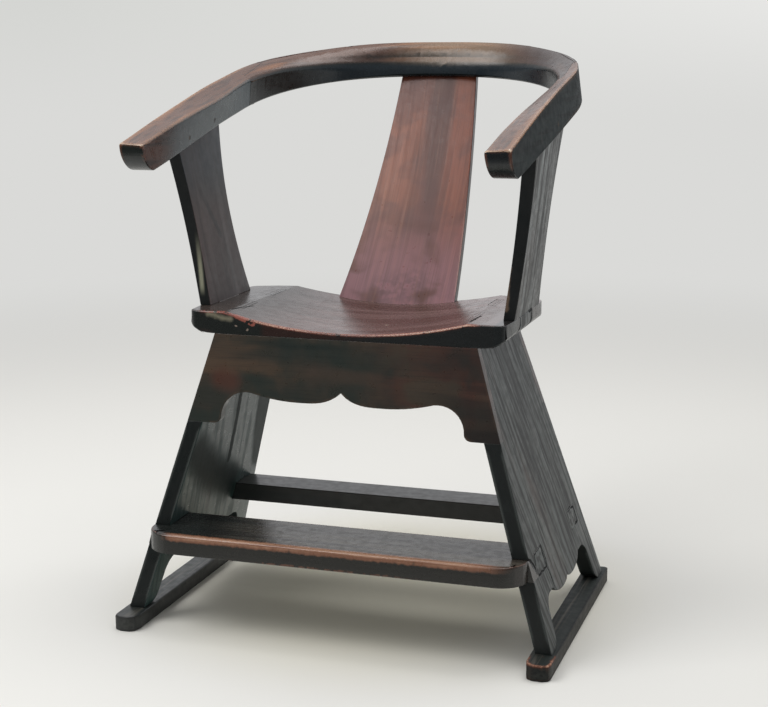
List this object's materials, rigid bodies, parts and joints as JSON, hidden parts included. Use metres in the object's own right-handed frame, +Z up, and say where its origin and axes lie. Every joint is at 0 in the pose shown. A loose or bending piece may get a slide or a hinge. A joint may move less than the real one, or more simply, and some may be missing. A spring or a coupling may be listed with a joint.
{
  "type": "horseshoe-back armchair",
  "caption": "Low armchair with a horseshoe crest rail, bent back splat, scooped plank seat, splayed leg boards on runners, cusped aprons and a front footrest.",
  "frame": {"origin": "on the floor, under the middle of the chair's bounding box", "axes": "+Z up, the sitter faces -Y, +X is to the viewer's right when the chair is seen from the front"},
  "size_m": [0.6786, 0.6627, 0.8779],
  "materials": {
    "seat_lacquer": "worn dark brown lacquer with red-brown edges",
    "green_black_lacquer": "satin green-black lacquer over open grain",
    "dark_brown_lacquer": "satin black-brown lacquer, worn to copper-brown at the edges",
    "red_brown_lacquer": "thin satin red-brown lacquer with vertical grain",
    "rail_lacquer": "satin dark lacquer, polished brown on top by hands",
    "pin_wood": "plain hardwood pins and wedges, stained with lacquer where they show"
  },
  "bodies": {
    "root": {"seat_board": "seat_lacquer", "left_leg_board": "green_black_lacquer", "right_leg_board": "green_black_lacquer", "left_runner": "green_black_lacquer", "right_runner": "green_black_lacquer", "front_apron": "dark_brown_lacquer", "rear_apron": "dark_brown_lacquer", "footrest": "dark_brown_lacquer", "rear_stretcher": "green_black_lacquer", "back_splat": "red_brown_lacquer", "left_arm_support": "green_black_lacquer", "right_arm_support": "green_black_lacquer", "back_rail": "rail_lacquer", "left_arm_rail": "rail_lacquer", "right_arm_rail": "rail_lacquer", "arm_pins": "pin_wood", "seat_tenon_wedges": "pin_wood", "runner_wedges": "pin_wood", "front_apron_dowels": "pin_wood", "rear_apron_dowels": "pin_wood", "scarf_keys": "pin_wood", "stretcher_pegs": "pin_wood"}
  },
  "joints": []
}
